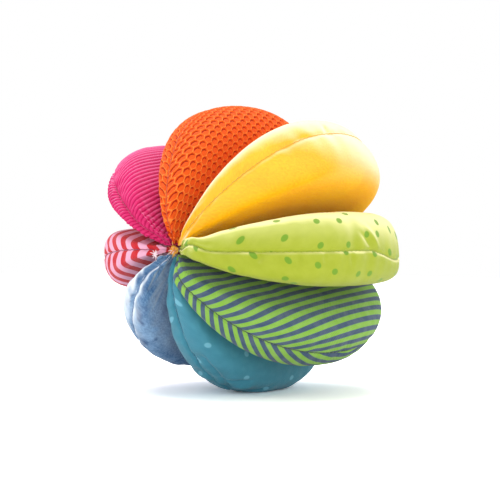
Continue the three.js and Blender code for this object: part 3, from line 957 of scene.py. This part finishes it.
def lining_film(petal, material, seed):
    turns = np.repeat(np.linspace(*FILM_ENDS, FILM_STEPS) * math.pi, FILM_STEPS)
    acrosses = np.tile(np.linspace(*FILM_ACROSS, FILM_STEPS), FILM_STEPS)
    smooth = petal_points(petal, turns, acrosses, 1, FILM_FULLNESS)
    deeper = petal_points(petal, turns, acrosses, 1, FILM_CRUMPLED_FULLNESS)
    crumple = wander(turns * FILM_SPANS[0], FILM_CRUMPLES[0], seed)
    crumple += wander(acrosses * FILM_SPANS[1], FILM_CRUMPLES[1], seed + 1)
    points = smooth + (deeper - smooth) * np.clip(np.abs(crumple), 0, 1)[:, None]
    film = new_piece(f"{petal.name}_film", points, net_faces(FILM_STEPS, FILM_STEPS, closed=False))
    bpy.context.view_layer.objects.active = film
    thicken = film.modifiers.new("thicken", "SOLIDIFY")
    thicken.thickness = FILM_THICKNESS * MM
    bpy.ops.object.modifier_apply(modifier="thicken")
    film.data.materials.append(material)
    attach(film, petal.body)
    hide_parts(f"{petal.name}_crinkle_film")


crinkle_film = film_plastic()
lining_film(lime, crinkle_film, seed=71)
lining_film(teal, crinkle_film, seed=81)

# The fillings.
# Loose white fibre, teased out and pushed in by hand, so each wad is lumpy. The green petal has two halves
# with room for the rattle between them.

WAD_ENDS = (0.17, 0.83)
WAD_ACROSS = (0.13, 0.86)
WAD_FULLNESS = 0.72
HALF_WAD_GAP = 0.02
WAD_RINGS = 40
WAD_COLUMNS = 20
WAD_LUMPS = 2.0
WAD_LUMP_SIZE = 7
POCKET_CLEARANCE = 0.6


def loose_fibre():
    material, shader, tree = new_material("fibre filling", roughness=1.0, sheen=0.6, specular=0.0)
    place = object_place(tree)
    wisps = {"Vector": place, "Scale": 350.0, "Detail": 6.0, "Distortion": 2.5}
    tangle = add_node(tree, "ShaderNodeTexNoise", wisps).outputs["Fac"]
    colour = blend_colours(tree, ramp(tree, tangle, 0.3, 0.7), srgb(222, 218, 206), srgb(246, 244, 238))
    paint(tree, shader, colour)
    add_bump(tree, shader, tangle, 0.8)
    return material


def wad(petal, name, node, fullness_a, fullness_b, material):
    """A closed lumpy wad, between two fullnesses of a petal, each from -1 on panel b to 1 on panel a."""
    rings = []
    acrosses = np.linspace(*WAD_ACROSS, WAD_COLUMNS)
    for turn in np.linspace(*WAD_ENDS, WAD_RINGS) * math.pi:
        face_a = petal_points(petal, turn, acrosses, math.copysign(1, fullness_a), abs(fullness_a))
        face_b = petal_points(petal, turn, acrosses, math.copysign(1, fullness_b), abs(fullness_b))
        rings.append(np.concatenate([face_a, face_b[::-1]]))
    size = len(rings[0])
    faces = net_faces(WAD_RINGS, size, closed=True)
    faces += [list(range(size)), list(range((WAD_RINGS - 1) * size, WAD_RINGS * size))]
    piece = new_piece(name, np.concatenate(rings), faces)
    face_outwards(piece)
    lumps = piece.modifiers.new("lumps", "DISPLACE")
    lumps.texture = fibre_lumps
    lumps.texture_coords = "GLOBAL"
    lumps.strength = WAD_LUMPS * MM
    lumps.mid_level = 1.0
    bpy.ops.object.modifier_apply(modifier="lumps")
    piece.data.shade_smooth()
    piece.data.materials.append(material)
    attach(piece, petal.body)
    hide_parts(node)
    return piece


fibre_lumps = bpy.data.textures.new("fibre lumps", "CLOUDS")
fibre_lumps.noise_scale = WAD_LUMP_SIZE * MM
fibre = loose_fibre()
for petal in (lime, yellow, orange, magenta, red, sky, teal):
    wad(petal, f"{petal.name}_wad", f"{petal.name}_filling", WAD_FULLNESS, -WAD_FULLNESS, fibre)
half_wads = [
    wad(green, "green_stripe_wad_a", "green_stripe_filling_a", WAD_FULLNESS, HALF_WAD_GAP, fibre),
    wad(green, "green_stripe_wad_b", "green_stripe_filling_b", -HALF_WAD_GAP, -WAD_FULLNESS, fibre),
]

# The rattle: two moulded cups that snap together, with three beads inside.
# The cups press a round pocket into both halves of the filling.

upper_low, upper_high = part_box("rattle_cup_upper")
lower_low, lower_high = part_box("rattle_cup_lower")
rattle_low = [min(pair) for pair in zip(upper_low, lower_low)]
rattle_high = [max(pair) for pair in zip(upper_high, lower_high)]
rattle_centre = [(low + high) / 2 for low, high in zip(rattle_low, rattle_high)]
RATTLE_RADIUS = 10
RATTLE_HEIGHT = 12

bpy.ops.object.select_all(action="DESELECT")
bpy.ops.mesh.primitive_cylinder_add(
    vertices=48,
    radius=(RATTLE_RADIUS + POCKET_CLEARANCE) * MM,
    depth=(RATTLE_HEIGHT + 2 * POCKET_CLEARANCE) * MM,
    location=rattle_centre,
    rotation=(0, -math.radians(green.azimuth), 0),
)
pocket = bpy.context.object
for half_wad in half_wads:
    bpy.context.view_layer.objects.active = half_wad
    cut = half_wad.modifiers.new("pocket", "BOOLEAN")
    cut.operation = "DIFFERENCE"
    cut.object = pocket
    bpy.ops.object.modifier_apply(modifier="pocket")
bpy.data.objects.remove(pocket)


def moulded_plastic(name, colour, worn, roughness):
    material, shader, tree = new_material(name, roughness=roughness, specular=0.5)
    place = object_place(tree)
    handling = {"Vector": place, "Scale": 220.0, "Detail": 5.0}
    scuffs = add_node(tree, "ShaderNodeTexNoise", handling).outputs["Fac"]
    paint(tree, shader, blend_colours(tree, ramp(tree, scuffs, 0.45, 0.75), colour, worn))
    matt = ramp(tree, scuffs, 0.3, 0.7, roughness - 0.1, roughness + 0.15)
    tree.links.new(matt, shader.inputs["Roughness"])
    add_bump(tree, shader, scuffs, 0.05)
    return material


def repaint(node, material):
    """Gives a carried-over solid its finish."""
    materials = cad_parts[node].data.materials
    materials.clear()
    materials.append(material)


cup_plastic = moulded_plastic("rattle plastic", srgb(240, 240, 234), srgb(226, 226, 220), 0.45)
bead_plastic = moulded_plastic("bead plastic", srgb(72, 72, 78), srgb(96, 96, 100), 0.35)
repaint("rattle_cup_upper", cup_plastic)
repaint("rattle_cup_lower", cup_plastic)
for number in (1, 2, 3):
    repaint(f"rattle_bead_{number}", bead_plastic)

# The tie between the poles.
# Three plies of strong cord, twisted together and pulled tight through the middle of the ball.

TIE_RADIUS = 0.8
TIE_PLIES = 3
TIE_TURN_LENGTH = 5.0
TIE_STEPS = 240

tie_along = np.linspace(tie_low.y / MM, tie_high.y / MM, TIE_STEPS)
ply_radius = TIE_RADIUS / 2
plies = []
for ply in range(TIE_PLIES):
    angle = 2 * math.pi * (tie_along / TIE_TURN_LENGTH + ply / TIE_PLIES)
    ply_x = ply_radius * np.cos(angle)
    ply_z = ply_radius * np.sin(angle) + BALL_CENTRE_HEIGHT
    plies.append(strand(np.stack([ply_x, tie_along, ply_z], axis=-1), ply_radius, sides=8))
tie = strands_piece("centre_tie_cord", plies)
tie.data.materials.append(twisted_thread("tie cord", [srgb(228, 218, 200)]))
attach(tie, "core")
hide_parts("centre_tie")

# The knots at the poles.
# Strong thread drawn through the eight tips and knotted. Its loops show, and so do the frayed ends of the
# fabrics, as short tufts of orange, yellow and pale pink.

KNOT_WINDS = 9
KNOT_RADIUS = 1.3
KNOT_FLATNESS = 0.55
KNOT_THREAD_RADIUS = 0.28
KNOT_SUNK = 0.4
FRAY_COUNT = 40
FRAY_LENGTH = (2.4, 4.6)
FRAY_SPREAD = (0.2, 0.95)
FRAY_RADII = (0.26, 0.1)
STAR_PLACE = (-5.5, 52.3, -1.5)
STAR_POINTS = 9
STAR_REACH = 2.2
STAR_RADII = (0.34, 0.1)


def pole_tuft(name, node, end, seed):
    """A knot at one pole with a tuft of pale thread beside it. end is -1 at the front and 1 at the back."""
    draw = np.random.default_rng(seed)
    tip = np.array([0, end * (POLE_HALF_LENGTH - KNOT_SUNK), BALL_CENTRE_HEIGHT])
    strands, shades = [], []
    for wind in range(KNOT_WINDS):
        tilt, turn = draw.uniform(0.2, 1.3), draw.uniform(0, 2 * math.pi)
        angle = np.linspace(0, 2 * math.pi, 25) + turn
        level, up = np.cos(angle), np.sin(angle)
        loop = np.stack([level, KNOT_FLATNESS * up * math.sin(tilt), up * math.cos(tilt)], axis=-1)
        cosine, sine = math.cos(turn), math.sin(turn)
        spin = np.array([[cosine, 0, -sine], [0, 1, 0], [sine, 0, cosine]])
        strands.append(strand(tip + KNOT_RADIUS * loop @ spin, KNOT_THREAD_RADIUS, sides=6))
        shades.append(draw.uniform(0, 0.7))
    for fray in range(FRAY_COUNT):
        turn = draw.uniform(0, 2 * math.pi)
        length = draw.uniform(*FRAY_LENGTH)
        spread = draw.uniform(*FRAY_SPREAD)
        along = np.linspace(0, 1, 7)[:, None]
        aside = math.sin(spread) * np.array([math.cos(turn), 0, math.sin(turn)])
        ahead = math.cos(spread) * np.array([0, end, 0])
        path = tip + length * along * (aside + ahead * (1 - 0.5 * along))
        strands.append(strand(path, np.linspace(*FRAY_RADII, 7), sides=5))
        shades.append(draw.uniform(0, 0.85))
    star = np.array([STAR_PLACE[0], end * STAR_PLACE[1], BALL_CENTRE_HEIGHT + STAR_PLACE[2]])
    for point in range(STAR_POINTS):
        turn = 2 * math.pi * (point + draw.uniform(-0.3, 0.3)) / STAR_POINTS
        reach = STAR_REACH * draw.uniform(0.7, 1.1)
        along = np.linspace(-0.1, 1, 6)[:, None]
        path = star + reach * along * np.array([math.cos(turn), end * 0.25, math.sin(turn)])
        strands.append(strand(path, np.linspace(*STAR_RADII, 6), sides=6))
        shades.append(1.0)
    piece = strands_piece(name, strands, shades)
    piece.data.materials.append(tuft_thread)
    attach(piece, "core")
    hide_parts(node)


tuft_thread = twisted_thread("tuft thread", [srgb(236, 104, 16), srgb(252, 190, 50), srgb(252, 226, 234)])
pole_tuft("pole_tuft_front", "pole_knot_front", -1, seed=91)
pole_tuft("pole_tuft_back", "pole_knot_back", 1, seed=97)

# The studio: a white floor that runs out to a white background, soft light from above and from both sides,
# and the camera, which looks along the ground at the front pole from the right.

CAMERA_AZIMUTH = 40
CAMERA_ELEVATION = 1.5
CAMERA_DISTANCE = 0.72
CAMERA_LENS = 123
CAMERA_AIM_BELOW_CENTRE = 0.84
FLOOR_SIZE = 2.0
FLOOR_WHITE = 0.92
FLOOR_EXPOSURE = 1.6
AMBIENT_LIGHT = 0.6

bpy.ops.mesh.primitive_plane_add(size=FLOOR_SIZE)
floor = bpy.context.object
floor.name = "studio_floor"
floor_material = bpy.data.materials.new("studio floor")
floor_material.use_nodes = True
floor_tree = floor_material.node_tree
floor_tree.nodes.clear()
floor_seen = add_node(floor_tree, "ShaderNodeLightPath").outputs["Is Camera Ray"]
floor_white = ramp(floor_tree, floor_seen, 0.0, 1.0, FLOOR_WHITE, FLOOR_EXPOSURE)
floor_paint = add_node(floor_tree, "ShaderNodeBsdfDiffuse", {"Color": floor_white})
add_node(floor_tree, "ShaderNodeOutputMaterial", {"Surface": floor_paint.outputs[0]})
floor.data.materials.append(floor_material)

world = bpy.data.worlds.new("studio")
bpy.context.scene.world = world
world.use_nodes = True
world_tree = world.node_tree
backdrop = world_tree.nodes["Background"]
paths = add_node(world_tree, "ShaderNodeLightPath").outputs
seen = maths(world_tree, "MAXIMUM", paths["Is Camera Ray"], paths["Is Glossy Ray"])
seen = maths(world_tree, "MAXIMUM", seen, paths["Is Transmission Ray"])
backdrop.inputs["Color"].default_value = (1, 1, 1, 1)
world_tree.links.new(ramp(world_tree, seen, 0.0, 1.0, AMBIENT_LIGHT, 1.0), backdrop.inputs["Strength"])


def add_softbox(name, offset, size, power):
    """A round soft light at an offset from the middle of the ball, aimed at it."""
    bpy.ops.object.light_add(type="AREA", location=ball_centre + Vector(offset))
    light = bpy.context.object
    light.name = name
    light.data.shape = "DISK"
    light.data.size = size
    light.data.energy = power
    light.rotation_euler = Vector(offset).to_track_quat("Z", "Y").to_euler()


ball_centre = (tie_low + tie_high) / 2
add_softbox("light_above", (-0.1, 0.0, 1.0), size=0.9, power=9)
add_softbox("light_left", (-0.75, -0.45, 0.35), size=0.6, power=2.6)
add_softbox("light_front", (0.5, -0.7, 0.0), size=0.6, power=4)
add_softbox("light_right", (0.75, 0.45, 0.35), size=0.6, power=3)

azimuth, elevation = math.radians(CAMERA_AZIMUTH), math.radians(CAMERA_ELEVATION)
aim = ball_centre - Vector((0, 0, CAMERA_AIM_BELOW_CENTRE * MM))
level = math.cos(elevation)
back = Vector((math.sin(azimuth) * level, -math.cos(azimuth) * level, math.sin(elevation)))
bpy.ops.object.camera_add(location=aim + back * CAMERA_DISTANCE)
camera = bpy.context.object
camera.rotation_euler = back.to_track_quat("Z", "Y").to_euler()
camera.data.lens = CAMERA_LENS
camera.data.sensor_width = 36
bpy.context.scene.camera = camera
bpy.context.scene.view_settings.view_transform = "Standard"
